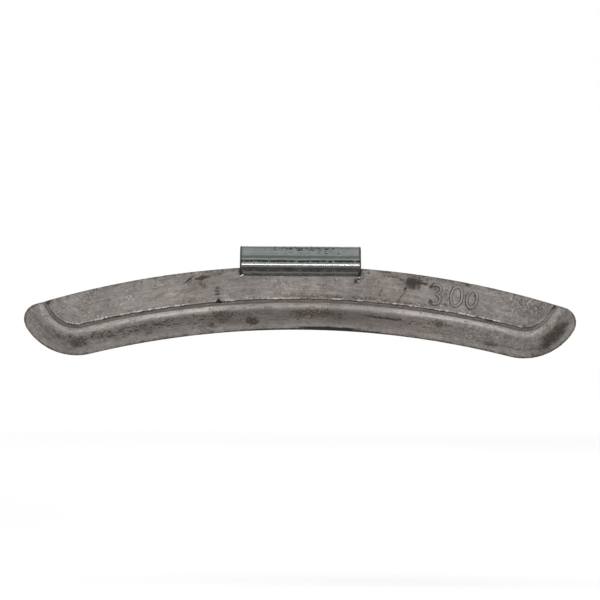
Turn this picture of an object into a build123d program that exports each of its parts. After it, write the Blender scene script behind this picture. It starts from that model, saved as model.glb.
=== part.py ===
from build123d import *
import os
from math import cos, radians, sin, sqrt, tan

# Clip-on balance weight for a car wheel: a curved lead casting with a spring clip cast into it.
# X runs along the weight, Z outwards from the wheel's axis, and the face that shows is towards -Y.
# The origin is where the rim's lip seats: mid-length, on the casting's top edge, level with the land.

# Outline of the casting, seen from the front
body_length = 116.0  # tip to tip
body_height = 13.4  # at mid-length
top_radius = 188.8  # top edge, under the rim's lip
bottom_radius = 184.6  # bottom edge
corner_radius = 12.4  # lower corner of each end
tip_radius = 3.35  # tip of each end, from the corner's round into the top edge

# Section of the casting
land_thickness = 5.8  # land to the crown of the back
top_thickness = 3.3  # land to the back, at the top edge
bottom_thickness = 4.2  # land to the back, at the bottom edge
crown_drop = 6.4  # crown of the back below the top edge
bead_width = 5.95  # bottom edge to the groove
groove_width = 0.6  # floor of the groove between bead and land
groove_depth = 0.45  # floor of the groove behind the land
crest_inset = 5.05  # bottom edge to the bead's crest
crest_height = 1.15  # crest in front of the land, before it is rounded
edge_drop = 1.5  # front of the bottom edge behind the land
crest_radius = 1.4
flank_radius = 25.0  # bulge of the bead's lower flank
groove_round = 0.35  # bead into the groove
back_round = 0.8  # edge of the back, all round
top_round = 0.3  # front of the top edge

# Spring clip, bent from strip
clip_width = 25.4
clip_thickness = 1.1
lip_gap = 3.15  # slot for the rim's lip, top edge to roof
exit_depth = 2.1  # where the clip leaves the land, below the top edge
exit_angle = 35.0  # rise of the clip as it comes out, in degrees
nose_reach = 2.45  # nose in front of the land, before it is rounded
slope_angle = 46.0  # rise of the sloped front, in degrees
roof_length = 4.0  # level top of the hook, before it is rounded
hook_angle = 40.0  # fall of the hook's end, in degrees
hook_length = 2.8
hook_corner = 1.2  # corners of the hook's end
tongue_cover = 1.1  # lead in front of the tongue
tongue_reach = 9.6  # lower end of the tongue below the top edge
root_radius = 0.7  # front of the bends, from the tongue up
nose_radius = 1.9
roof_radius = 2.6
hook_radius = 3.0
key_diameter = 4.0  # holes in the tongue that the lead flows through
key_pitch = 13.0

# Rounds of the right end: the tip's touches the top edge, the corner's touches the tip's and the bottom edge
top_centre = Vector(0, -top_radius)
bottom_centre = Vector(0, -body_height - bottom_radius)
tip_x = body_length / 2 - tip_radius
tip_centre = Vector(tip_x, sqrt((top_radius - tip_radius) ** 2 - tip_x**2) - top_radius)
to_tip = tip_centre - bottom_centre
to_corner = bottom_radius + corner_radius
along = (to_corner**2 + to_tip.length**2 - (corner_radius - tip_radius) ** 2) / (2 * to_tip.length)
across = sqrt(to_corner**2 - along**2)
tip_way = to_tip.normalized()
corner_centre = bottom_centre + tip_way * along + tip_way.rotate(Axis.Z, 90) * across

# Points where the rounds meet, and the end's line run on past the top edge
outward = (tip_centre - corner_centre).normalized()
upward = outward.rotate(Axis.Z, 90)
heel = bottom_centre + (corner_centre - bottom_centre).normalized() * bottom_radius
waist = corner_centre + outward * corner_radius
brow = top_centre + (tip_centre - top_centre).normalized() * top_radius
peak = waist + upward * 2 * (body_height + bead_width)
wheel_axis = Axis((0, 0, -top_radius), (0, 1, 0))
blank_depth = 1.3 * land_thickness  # stock behind the land, cut back to the crown
bead_lap = groove_width  # bead's run under the land


def draw_lower_edge():
    """Bottom edge and lower corners, in the open line."""
    bottom = ThreePointArc((-heel.X, heel.Y), (0, -body_height), heel)
    corner = TangentArc(heel, waist, tangent=bottom % 1)
    mirror(corner, about=Plane.YZ)
    return corner


def draw_blank():
    """Casting's face, in the open line, with the ends run up past the top edge."""
    draw_lower_edge()
    mirror(Line(waist, peak), about=Plane.YZ)
    Line((-peak.X, peak.Y), peak)


# Spring clip: tongue, nose, sloped front, roof and hook
nose_z = nose_reach * tan(radians(exit_angle)) - exit_depth
roof_z = lip_gap + clip_thickness
roof_y = (roof_z - nose_z) / tan(radians(slope_angle)) - nose_reach
hook_y = roof_y + roof_length
end_y = hook_y + hook_length * cos(radians(hook_angle))
end_z = roof_z - hook_length * sin(radians(hook_angle))
root_z = -exit_depth - tongue_cover * tan(radians(exit_angle))
with BuildPart() as spring_clip:
    with BuildSketch(Plane.YZ) as strip:
        with BuildLine() as bend_line:
            FilletPolyline(
                (tongue_cover, -tongue_reach),
                (tongue_cover, root_z),
                (-nose_reach, nose_z),
                (roof_y, roof_z),
                (hook_y, roof_z),
                (end_y, end_z),
                radius=(root_radius, nose_radius, roof_radius, hook_radius),
            )
            offset(amount=clip_thickness, side=Side.RIGHT)
        make_face()
    extrude(amount=clip_width / 2, both=True)
    hook_end = spring_clip.faces().sort_by(Axis.Y)[-1]
    fillet(hook_end.edges().filter_by(Axis.X, reverse=True), hook_corner)
    with BuildSketch(Plane.XZ) as keys:
        with Locations((0, (root_z - tongue_reach) / 2)):
            with GridLocations(key_pitch, 1, 2, 1):
                Circle(key_diameter / 2)
    extrude(amount=-tongue_cover - 2 * clip_thickness, mode=Mode.SUBTRACT)

# Edge that the bead follows, from the left end round to the right
with BuildSketch(Plane.XZ) as blank:
    with BuildLine() as blank_line:
        draw_blank()
    make_face()
bead_path = blank.sketch.edges().sort_by(Axis.Z)[:-1]

# Lead casting: land, bead round the bottom and ends, crowned back
with BuildPart() as cast_body:
    with BuildSketch(Plane.XZ.offset(-blank_depth)) as land:
        with BuildLine() as land_line:
            draw_blank()
        make_face()
        offset(amount=-bead_width - groove_width, kind=Kind.INTERSECTION, mode=Mode.REPLACE)
    extrude(amount=blank_depth)
    bead_plane = Plane(
        origin=(-peak.X, 0, peak.Y),
        x_dir=(outward.X, 0, -outward.Y),
        z_dir=(upward.X, 0, -upward.Y),
    )
    with BuildSketch(bead_plane) as bead:
        with BuildLine() as bead_line:
            flank = RadiusArc((0, -edge_drop), (crest_inset, crest_height), flank_radius)
            Polyline(
                flank @ 1,
                (bead_width, -groove_depth),
                (bead_width + groove_width + bead_lap, -groove_depth),
                (bead_width + groove_width + bead_lap, -blank_depth),
                (0, -blank_depth),
                flank @ 0,
            )
        make_face()
        fillet(bead.vertices().sort_by(Axis.Y)[-1], crest_radius)
        fillet(bead.vertices().sort_by_distance((bead_width, -groove_depth))[0], groove_round)
    sweep(path=bead_path)
    with BuildSketch(Plane.XZ.offset(-blank_depth)) as outline:
        with BuildLine() as outline_line:
            corner_arc = draw_lower_edge()
            tip_arc = TangentArc(waist, brow, tangent=corner_arc % 1)
            mirror(tip_arc, about=Plane.YZ)
            ThreePointArc((-brow.X, brow.Y), (0, 0), brow)
        make_face()
    extrude(amount=blank_depth + 3 * crest_height, mode=Mode.INTERSECT)
    with BuildSketch(Plane.YZ) as behind:
        with BuildLine() as back_line:
            crown = ThreePointArc(
                (top_thickness, 0),
                (land_thickness, -crown_drop),
                (bottom_thickness, -body_height),
            )
            Polyline(
                crown @ 1,
                (bottom_thickness, -2 * body_height),
                (3 * blank_depth, -2 * body_height),
                (3 * blank_depth, body_height),
                (top_thickness, body_height),
                crown @ 0,
            )
        make_face()
    revolve(axis=wheel_axis, mode=Mode.SUBTRACT)
    fillet(cast_body.faces().sort_by(SortBy.AREA)[-1].edges(), back_round)
    top_wall = cast_body.faces().filter_by(GeomType.CYLINDER).sort_by(SortBy.AREA)[-1]
    fillet(top_wall.edges().filter_by_position(Axis.Y, -land_thickness, top_thickness / 2), top_round)
    add(spring_clip.part, mode=Mode.SUBTRACT)

os.makedirs("parts", exist_ok=True)
cast_body.part.label = "cast_body"
spring_clip.part.label = "spring_clip"
export_step(cast_body.part, "parts/cast_body.step")
export_step(spring_clip.part, "parts/spring_clip.step")
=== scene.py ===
import math

import bmesh
import bpy
import numpy as np
from bpy.props import FloatProperty, FloatVectorProperty, PointerProperty
from mathutils import Matrix, Vector


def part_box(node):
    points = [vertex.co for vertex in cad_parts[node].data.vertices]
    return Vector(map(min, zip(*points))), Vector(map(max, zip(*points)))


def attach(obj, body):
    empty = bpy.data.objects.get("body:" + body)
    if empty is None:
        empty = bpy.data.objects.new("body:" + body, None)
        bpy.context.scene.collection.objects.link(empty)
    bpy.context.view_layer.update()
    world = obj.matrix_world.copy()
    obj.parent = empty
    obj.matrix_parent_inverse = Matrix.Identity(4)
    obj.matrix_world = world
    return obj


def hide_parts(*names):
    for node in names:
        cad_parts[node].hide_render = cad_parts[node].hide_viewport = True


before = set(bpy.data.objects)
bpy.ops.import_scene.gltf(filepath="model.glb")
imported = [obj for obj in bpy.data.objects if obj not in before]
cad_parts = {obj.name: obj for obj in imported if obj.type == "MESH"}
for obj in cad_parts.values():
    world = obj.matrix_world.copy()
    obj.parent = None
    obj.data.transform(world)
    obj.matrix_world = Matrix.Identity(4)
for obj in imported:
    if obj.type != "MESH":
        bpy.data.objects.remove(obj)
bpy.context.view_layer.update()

bl_info = {
    "name": "Wheel Balance Weight",
    "version": (1, 0, 0),
    "blender": (4, 5, 0),
    "location": "View3D > Sidebar > Balance Weight",
    "description": "Clip-on wheel balance weight: lead casting, spring clip, raised numerals and dross",
    "category": "Object",
}

CAST_LOW, CAST_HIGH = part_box("cast_body")
BODY = "root"
LEAD = "dull_lead"
STEEL = "zinc_plate"
MM = 0.001
PER_MM = 1000.0
# Stretches of the land's edge where the burr stands, by their runs from mid-length
BURR_STRETCHES = (
    (-51.8, -50.0), (-47.6, -44.5), (-42.7, -38.6), (-36.4, -34.9), (-33.3, -32.3), (-30.6, -27.2),
    (-25.6, -23.9), (-15.4, -13.4), (-5.8, -0.5), (6.6, 8.6), (11.2, 12.6), (18.6, 19.6), (22.4, 23.4),
    (27.6, 30.0), (32.5, 35.5), (38.3, 41.0), (44.0, 46.5), (48.0, 51.0),
)


# Settings

def length(label, words, millimetres):
    """A length that a user may change, written in millimetres and held in metres."""
    return FloatProperty(name=label, description=words, default=millimetres * MM, unit="LENGTH", precision=5)


def angle(label, words, degrees):
    """An angle that a user may change, written in degrees and held in radians."""
    return FloatProperty(name=label, description=words, default=math.radians(degrees), subtype="ANGLE")


def colour(label, words, red, green, blue):
    """A linear colour that a user may change."""
    return FloatVectorProperty(
        name=label,
        description=words,
        default=(red, green, blue, 1.0),
        size=4,
        subtype="COLOR",
        min=0.0,
        max=1.0,
    )


def level(label, words, value):
    """A plain number that a user may change."""
    return FloatProperty(name=label, description=words, default=value)


class CastingSizes(bpy.types.PropertyGroup):
    """Sizes of the lead casting."""

    span: length("Length", "Tip to tip", (CAST_HIGH.x - CAST_LOW.x) * PER_MM)
    height: length("Height", "Top edge to bottom edge at mid-length", 13.4)
    top_radius: length("Top Radius", "Radius of the top edge", 188.8)
    bottom_radius: length("Bottom Radius", "Radius of the bottom edge", 184.6)
    corner_radius: length("Corner Radius", "Lower corner of each end", 12.4)
    tip_radius: length("Tip Radius", "Tip of each end", 3.35)
    top_thickness: length("Top Thickness", "Land to the back at the top edge", 3.3)
    crown_thickness: length("Crown Thickness", "Land to the crown of the back", 5.8)
    bottom_thickness: length("Bottom Thickness", "Land to the back at the bottom edge", 4.2)
    crown_drop: length("Crown Drop", "Crown of the back below the top edge", 6.4)
    back_round: length("Back Round", "Round of the back's edge", 0.8)
    front_round: length("Front Round", "Round of the front's top edge and tips", 0.35)
    bead_width: length("Bead Width", "Bottom edge to the groove", 5.95)
    groove_width: length("Groove Width", "Floor between bead and land", 0.6)
    groove_depth: length("Groove Depth", "Floor of the groove behind the land", 0.45)
    crest_inset: length("Crest Inset", "Bottom edge to the bead's crest before rounding", 5.05)
    crest_height: length("Crest Height", "Crest in front of the land before rounding", 1.15)
    edge_drop: length("Edge Drop", "Front of the bottom edge behind the land", 1.5)
    flank_radius: length("Flank Radius", "Bulge of the bead's lower flank", 25.0)
    crest_radius: length("Crest Radius", "Round of the bead's crest", 1.4)
    groove_blend: length("Groove Blend", "Softness of the bead's foot", 0.25)
    waviness: length("Waviness", "Depth of the slow hollows in the skin", 0.09)
    grain: length("Grain", "Depth of the fine grain in the skin", 0.035)
    pit_depth: length("Pit Depth", "Depth of the gas pits in the skin", 0.09)
    burr_height: length("Burr Height", "Burr along the land's lower edge", 0.16)
    nick_depth: length("Nick Depth", "V-shaped nick in the land's lower edge", 0.5)
    nick_x: length("Nick Along", "Place of the nick along the weight", -17.1)
    nick_z: length("Nick Up", "Foot of the nick below the top edge", -7.7)


class ClipSizes(bpy.types.PropertyGroup):
    """Sizes of the spring clip."""

    width: length("Width", "Width of the strip", 25.4)
    thickness: length("Thickness", "Thickness of the strip", 1.1)
    edge_round: length("Edge Round", "Round of the strip's long edges", 0.3)
    lip_gap: length("Lip Gap", "Slot for the rim's lip, top edge to roof", 3.15)
    exit_depth: length("Exit Depth", "Where the clip leaves the land, below the top edge", 2.1)
    exit_angle: angle("Exit Angle", "Rise of the clip as it comes out", 35.0)
    nose_reach: length("Nose Reach", "Nose in front of the land before rounding", 2.45)
    slope_angle: angle("Slope Angle", "Rise of the sloped front", 46.0)
    roof_length: length("Roof Length", "Level top of the hook before rounding", 4.0)
    hook_angle: angle("Hook Angle", "Fall of the hook's end", 40.0)
    hook_length: length("Hook Length", "Straight end of the hook", 2.8)
    hook_corner: length("Hook Corner", "Corners of the hook's end", 1.2)
    tongue_cover: length("Tongue Cover", "Lead in front of the tongue", 1.1)
    tongue_reach: length("Tongue Reach", "Lower end of the tongue below the top edge", 9.6)
    root_radius: length("Root Radius", "Front of the bend at the tongue", 0.7)
    nose_radius: length("Nose Radius", "Front of the bend at the nose", 1.9)
    roof_radius: length("Roof Radius", "Front of the bend at the roof", 2.6)
    hook_radius: length("Hook Radius", "Front of the bend at the hook", 3.0)
    key_diameter: length("Key Diameter", "Holes in the tongue that the lead fills", 4.0)
    key_pitch: length("Key Pitch", "Between the holes in the tongue", 13.0)
    dents: length("Dents", "Depth of the dents in the strip", 0.008)


class MarkSizes(bpy.types.PropertyGroup):
    """Sizes of the raised numerals and the dross."""

    numeral_height: length("Numeral Height", "Middle of the top stroke to middle of the bottom stroke", 4.05)
    numeral_width: length("Numeral Width", "Middle of the left stroke to middle of the right stroke", 2.3)
    stroke_foot: length("Stroke Foot", "Width of a stroke at its foot, inside the land", 1.06)
    stroke_top: length("Stroke Top", "Width of a stroke's flat top", 0.3)
    stroke_rise: length("Stroke Rise", "Height of a stroke from its foot", 0.3)
    stroke_sink: length("Stroke Sink", "Foot of a stroke behind the land", 0.16)
    crumb: length("Crumb", "Radius of the largest crumb along the land's edge", 0.13)
    crumb_spacing: length("Crumb Spacing", "Between crumbs along the land's edge", 0.45)
    blob: length("Blob", "Radius of the largest blob beside the clip", 0.36)
    blob_spacing: length("Blob Spacing", "Between blobs beside the clip", 0.45)
    wander: length("Wander", "How far crumbs and blobs stray from their line", 0.1)


class Finishes(bpy.types.PropertyGroup):
    """Colours of the lead and the steel."""

    lead_dark: colour("Lead Dark", "Dull lead", 0.125, 0.11, 0.1)
    lead_pale: colour("Lead Pale", "Rubbed lead, warm in tone", 0.405, 0.357, 0.331)
    lead_cool: colour("Lead Cool", "Rubbed lead, cool in tone", 0.37, 0.348, 0.322)
    # Also the colour of painted highlights, painted bounce light and painted glints on the bead.
    lead_bright: colour("Lead Bright", "Fresh lead on burrs and scratches", 0.8, 0.79, 0.77)
    # Also the colour of painted shade and painted shadow in the groove.
    dirt: colour("Dirt", "Brown dirt on the lead", 0.052, 0.042, 0.033)
    # Also the colour of painted shade in the nick and on the numerals, and of painted shadows under the
    # parting flash and beside the clip and blobs.
    soot: colour("Soot", "Black marks on the lead", 0.018, 0.016, 0.014)
    steel: colour("Steel", "Zinc plate in the open", 0.108, 0.119, 0.115)
    # Also the colour of painted light low under the nose.
    steel_pale: colour("Steel Pale", "Zinc plate rubbed bright", 0.215, 0.232, 0.226)
    steel_worn: colour("Steel Worn", "Nose where the plate is drawn thin", 0.15, 0.149, 0.142)
    # Also the colour of painted dark reflections on the bend and on the strip's edges, and of painted shade
    # under the nose.
    steel_dark: colour("Steel Dark", "Draw marks and pits in the plate", 0.012, 0.0118, 0.011)
    steel_grime: colour("Steel Grime", "Brown grime under the nose", 0.125, 0.112, 0.098)


class StageSizes(bpy.types.PropertyGroup):
    """Camera, lamps and floor."""

    camera_distance: length("Camera Distance", "Camera to the land", 650.0)
    frame_width: length("Frame Width", "Width that the picture takes in at the land", 125.8)
    aim_x: length("Aim Along", "Middle of the picture along the weight", -0.04)
    aim_z: length("Aim Up", "Middle of the picture below the top edge", -7.12)
    roll: angle("Roll", "Turn of the camera about its line of sight", 0.4)
    floor_drop: length("Floor Drop", "Floor below the top edge", 80.0)
    floor_size: length("Floor Size", "Width of the floor", 6000.0)
    key_power: level("Key Power", "Long lamp above the camera, in watts", 3.1)
    top_power: level("Top Power", "Wide lamp overhead, in watts", 3.9)
    back_power: level("Back Power", "Wide lamp behind, in watts", 1.2)
    ambient: level("Ambient", "Level of the light from all round", 0.42)


class WeightSettings(bpy.types.PropertyGroup):
    """All that a user may change."""

    casting: PointerProperty(type=CastingSizes)
    clip: PointerProperty(type=ClipSizes)
    marks: PointerProperty(type=MarkSizes)
    finish: PointerProperty(type=Finishes)
    stage: PointerProperty(type=StageSizes)


def settings():
    """Settings of the current scene."""
    return bpy.context.scene.balance_weight


# Node trees

class Socket:
    """An output socket. Arithmetic on it adds Math nodes to its tree."""

    def __init__(self, graph, out):
        self.graph = graph
        self.out = out

    def __add__(self, other):
        return self.graph.math("ADD", self, other)

    def __radd__(self, other):
        return self.graph.math("ADD", other, self)

    def __sub__(self, other):
        return self.graph.math("SUBTRACT", self, other)

    def __rsub__(self, other):
        return self.graph.math("SUBTRACT", other, self)

    def __mul__(self, other):
        return self.graph.math("MULTIPLY", self, other)

    def __rmul__(self, other):
        return self.graph.math("MULTIPLY", other, self)

    def __truediv__(self, other):
        return self.graph.math("DIVIDE", self, other)

    def __rtruediv__(self, other):
        return self.graph.math("DIVIDE", other, self)

    def __abs__(self):
        return self.graph.math("ABSOLUTE", self)


class Graph:
    """Adds nodes to a shader tree or a geometry tree."""

    def __init__(self, tree):
        self.tree = tree

    def node(self, kind, options=None, inputs=None, output=0):
        """A node of that kind: options first, then the values or links of its inputs."""
        made = self.tree.nodes.new(kind)
        for name, value in (options or {}).items():
            setattr(made, name, value)
        for name, value in (inputs or {}).items():
            self.feed(made.inputs[name], value)
        return Socket(self, made.outputs[output])

    def feed(self, entry, value):
        """Links a socket to an input, or sets the input's own value."""
        if isinstance(value, Socket):
            self.tree.links.new(value.out, entry)
        else:
            entry.default_value = value

    def math(self, operation, *values):
        return self.node("ShaderNodeMath", {"operation": operation}, dict(enumerate(values)))

    def most(self, *values):
        """The largest of several values."""
        largest = values[0]
        for value in values[1:]:
            largest = self.math("MAXIMUM", largest, value)
        return largest

    def least(self, first, second):
        return self.math("MINIMUM", first, second)

    def vector(self, operation, *values, output=0):
        return self.node("ShaderNodeVectorMath", {"operation": operation}, dict(enumerate(values)), output)

    def scaled(self, vector, factor):
        return self.node("ShaderNodeVectorMath", {"operation": "SCALE"}, {0: vector, "Scale": factor})

    def stretched(self, vector, x, y, z):
        return self.vector("MULTIPLY", vector, (x, y, z))

    def size(self, vector):
        return self.vector("LENGTH", vector, output="Value")

    def parts(self, vector):
        """X, Y and Z of a vector."""
        return [self.node("ShaderNodeSeparateXYZ", None, {0: vector}, axis) for axis in range(3)]

    def joined(self, x, y, z):
        return self.node("ShaderNodeCombineXYZ", None, {0: x, 1: y, 2: z})

    def rise(self, value, low, high):
        """0 below low, 1 above high and a smooth climb between, falling where low is above high."""
        options = {"interpolation_type": "SMOOTHSTEP"}
        return self.node("ShaderNodeMapRange", options, {0: value, 1: low, 2: high})

    def band(self, value, low, full_low, full_high, high):
        """1 between the two full values, fading to 0 at low and high."""
        return self.rise(value, low, full_low) * self.rise(value, high, full_high)

    def near(self, value, middle, *steps):
        """A band whose four values are given as steps from a middle one."""
        return self.band(value, *(middle + step for step in steps))

    def noise(self, place, scale, detail=2.0, roughness=0.5, seed=0.0, output=0):
        """Noise about 0.5, with features of about one over the scale, moved aside by its seed."""
        moved = self.vector("ADD", place, (seed, 1.7 * seed, -2.3 * seed))
        inputs = {"Vector": moved, "Scale": scale, "Detail": detail, "Roughness": roughness}
        return self.node("ShaderNodeTexNoise", None, inputs, output)

    def mix(self, first, second, factor):
        """A colour between two others."""
        return self.node("ShaderNodeMix", {"data_type": "RGBA"}, {0: factor, 6: first, 7: second}, 2)


class GeometryGraph(Graph):
    """A geometry tree with named inputs, which ends as a plain mesh of one material."""

    def __init__(self, name, numbers, objects=(), counts=()):
        super().__init__(bpy.data.node_groups.new(name, "GeometryNodeTree"))
        face = self.tree.interface
        face.new_socket("Geometry", in_out="INPUT", socket_type="NodeSocketGeometry")
        kinds = {"NodeSocketFloat": numbers, "NodeSocketObject": objects, "NodeSocketInt": counts}
        self.keys = {}
        for kind, labels in kinds.items():
            for label in labels:
                self.keys[label] = face.new_socket(label, in_out="INPUT", socket_type=kind).identifier
        face.new_socket("Geometry", in_out="OUTPUT", socket_type="NodeSocketGeometry")
        self.entry = self.tree.nodes.new("NodeGroupInput")

    def given(self, label):
        """One of the tree's named inputs."""
        return Socket(self, self.entry.outputs[label])

    def attribute(self, name):
        return self.node("GeometryNodeInputNamedAttribute", {"data_type": "FLOAT"}, {"Name": name})

    def stored(self, geometry, name, value):
        """The geometry with a number on its points."""
        options = {"data_type": "FLOAT", "domain": "POINT"}
        inputs = {"Geometry": geometry, "Name": name, "Value": value}
        return self.node("GeometryNodeStoreNamedAttribute", options, inputs)

    def swept(self, line, section):
        """A closed solid with that section along a line."""
        inputs = {"Curve": line, "Profile Curve": section, "Fill Caps": True}
        return self.node("GeometryNodeCurveToMesh", None, inputs)

    def position(self):
        return self.node("GeometryNodeInputPosition")

    def normal(self):
        return self.node("GeometryNodeInputNormal")

    def moved(self, geometry, offset):
        return self.node("GeometryNodeSetPosition", None, {"Geometry": geometry, "Offset": offset})

    def finish(self, geometry, material):
        """Ends the tree in real geometry of one material."""
        real = self.node("GeometryNodeRealizeInstances", None, {0: geometry})
        dressed = self.node("GeometryNodeSetMaterial", None, {"Geometry": real, "Material": material})
        end = self.tree.nodes.new("NodeGroupOutput")
        self.tree.links.new(dressed.out, end.inputs["Geometry"])
        self.material = material

    def mesh(self, carrier, values):
        """The plain mesh that the tree makes from a carrier object, which is then removed."""
        modifier = carrier.modifiers.new(self.tree.name, "NODES")
        modifier.node_group = self.tree
        for label, value in values.items():
            modifier[self.keys[label]] = value
        depsgraph = bpy.context.evaluated_depsgraph_get()
        evaluated = carrier.evaluated_get(depsgraph)
        made = bpy.data.meshes.new_from_object(evaluated, preserve_all_data_layers=True, depsgraph=depsgraph)
        carrier.modifiers.remove(modifier)
        bpy.data.objects.remove(carrier)
        if not made.polygons:
            raise RuntimeError(f"{self.tree.name} made no faces")
        made.materials.clear()
        made.materials.append(self.material)
        return made


class Paint(Graph):
    """A material's shader tree, with places in millimetres."""

    def __init__(self, name):
        self.material = bpy.data.materials.new(name)
        self.material.use_nodes = True
        super().__init__(self.material.node_tree)
        self.shader = self.tree.nodes["Principled BSDF"]
        self.place = self.scaled(self.node("ShaderNodeTexCoord", output="Object"), PER_MM)

    def attribute(self, name):
        return self.node("ShaderNodeAttribute", {"attribute_name": name}, output="Fac")

    def blot(self, place, x, z, half_x, half_z, turn=0.0, soft=0.6):
        """A stain about a point of the front, with its half sizes in millimetres and its turn in degrees."""
        any_depth = 1000.0
        inputs = {
            "Vector": place,
            "Location": (x, 0.0, z),
            "Rotation": (0.0, math.radians(turn), 0.0),
            "Scale": (half_x, any_depth, half_z),
        }
        seen = self.node("ShaderNodeMapping", {"vector_type": "TEXTURE"}, inputs)
        return self.rise(self.size(seen), 1.0 + soft / 2, 1.0 - soft)

    def marks(self, place, table):
        """The strongest, at each point, of a table of blots that have their strength first."""
        return self.most(*(self.blot(place, *shape) * strength for strength, *shape in table.values()))

    def bump(self, height, depth, strength):
        inputs = {"Strength": strength, "Distance": depth, "Height": height}
        return self.node("ShaderNodeBump", None, inputs)

    def finish(self, **inputs):
        """The material, with inputs of its shader set or linked by their names."""
        for name, value in inputs.items():
            self.feed(self.shader.inputs[name.replace("_", " ").title().replace("Ior", "IOR")], value)
        return self.material


# Objects

def new_object(name, data):
    made = bpy.data.objects.new(name, data)
    bpy.context.scene.collection.objects.link(made)
    return made


def new_mesh(name, points, faces, attributes):
    """A closed mesh from points and faces, with numbers on its points, doubles merged and faces outwards."""
    mesh = bpy.data.meshes.new(name)
    mesh.from_pydata(points, [], faces)
    for label, values in attributes.items():
        mesh.attributes.new(label, "FLOAT", "POINT").data.foreach_set("value", values.astype(np.float32))
    together = 0.0005 * MM
    tidy = bmesh.new()
    tidy.from_mesh(mesh)
    bmesh.ops.remove_doubles(tidy, verts=tidy.verts, dist=together)
    bmesh.ops.dissolve_degenerate(tidy, edges=tidy.edges, dist=together)
    bmesh.ops.recalc_face_normals(tidy, faces=tidy.faces)
    tidy.to_mesh(mesh)
    tidy.free()
    return mesh


def smooth(mesh, degrees):
    """Smooth shading, with edges sharper than the angle left sharp."""
    mesh.shade_smooth()
    mesh.set_sharp_from_angle(angle=math.radians(degrees))


def dress(piece, node=None):
    """Seats a finished piece on the part."""
    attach(piece, BODY)
    if node:
        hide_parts(node)


# Lead casting

def unit(way):
    return way / np.hypot(*way)


def left_of(way):
    return np.array((-way[1], way[0]))


class Outline:
    """Edges of the casting seen from the front, as X and Z in metres."""

    def __init__(self, size):
        self.size = size
        self.top = np.array((0.0, -size.top_radius))
        self.bottom = np.array((0.0, -size.height - size.bottom_radius))
        tip_x = size.span / 2 - size.tip_radius
        tip_z = math.sqrt((size.top_radius - size.tip_radius) ** 2 - tip_x**2) - size.top_radius
        self.tip = np.array((tip_x, tip_z))
        to_tip = self.tip - self.bottom
        reach = np.hypot(*to_tip)
        to_corner = size.bottom_radius + size.corner_radius
        rounds = size.corner_radius - size.tip_radius
        along = (to_corner**2 + reach**2 - rounds**2) / (2 * reach)
        across = math.sqrt(to_corner**2 - along**2)
        self.corner = self.bottom + to_tip / reach * along + left_of(to_tip / reach) * across
        self.outward = unit(self.tip - self.corner)
        self.upward = left_of(self.outward)
        self.waist = self.corner + self.outward * size.corner_radius
        heel = unit(self.corner - self.bottom)
        self.bottom_run = size.bottom_radius * math.atan2(heel[0], heel[1])
        self.heel_turn = math.atan2(-heel[1], -heel[0])
        self.corner_turn = math.atan2(self.outward[1], self.outward[0]) - self.heel_turn
        self.lower_run = self.bottom_run + size.corner_radius * self.corner_turn
        brow = self.top + unit(self.tip - self.top) * size.top_radius
        self.brow_inset = float(np.dot(self.waist - brow, self.outward))

    def half_run(self, inset):
        """Length of the lower edge from mid-length to where a row at that inset meets the tip or the top."""
        size = self.size
        if inset < self.brow_inset:
            return self.lower_run + math.sqrt(max(0.0, size.tip_radius**2 - (size.tip_radius - inset) ** 2))
        start = self.waist - inset * self.outward - self.top
        lean = float(np.dot(start, self.upward))
        return self.lower_run - lean + math.sqrt(lean**2 - np.dot(start, start) + size.top_radius**2)

    def row(self, inset, shares):
        """Points at an inset from the lower edge, at shares of the half run from -1 to 1, and their runs."""
        size = self.size
        run = shares * self.half_run(inset)
        far = np.abs(run)
        turn = np.minimum(far, self.bottom_run) / size.bottom_radius
        low_way = np.stack((np.sin(turn), np.cos(turn)), axis=1)
        low = self.bottom + low_way * (size.bottom_radius + inset)
        bend = np.clip(far - self.bottom_run, 0.0, self.lower_run - self.bottom_run) / size.corner_radius
        bend += self.heel_turn
        corner_way = np.stack((np.cos(bend), np.sin(bend)), axis=1)
        corner = self.corner + corner_way * (size.corner_radius - inset)
        corner += np.maximum(far - self.lower_run, 0.0)[:, None] * self.upward
        points = np.where((far > self.bottom_run)[:, None], corner, low)
        points[:, 0] *= np.where(run < 0.0, -1.0, 1.0)
        return points, run

    def below_top(self, points):
        """Depth of points below the top edge."""
        return self.size.top_radius - np.hypot(*(points - self.top).T)

    def from_edge(self, points, inset):
        """Distance of points from the nearest edge."""
        folded = np.stack((np.abs(points[:, 0]), points[:, 1]), axis=1) - self.tip
        brow_way = unit(self.tip - self.top)
        in_tip = (folded @ left_of(self.outward) > 0.0) & (folded @ left_of(brow_way) < 0.0)
        tip_gap = np.where(in_tip, self.size.tip_radius - np.hypot(*folded.T), np.inf)
        return np.maximum(np.minimum(np.minimum(inset, self.below_top(points)), tip_gap), 0.0)


def rounded(gap, radius):
    """How far a round of that radius falls away, at a distance from its edge."""
    short = np.maximum(radius - gap, 0.0)
    return radius - np.sqrt(np.maximum(radius**2 - short**2, 0.0))


def soft_least(first, second, blend):
    """The lesser of two values, with a smooth turn between them."""
    share = np.maximum(blend - np.abs(first - second), 0.0) / blend
    return np.minimum(first, second) - share**2 * blend / 4


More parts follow.
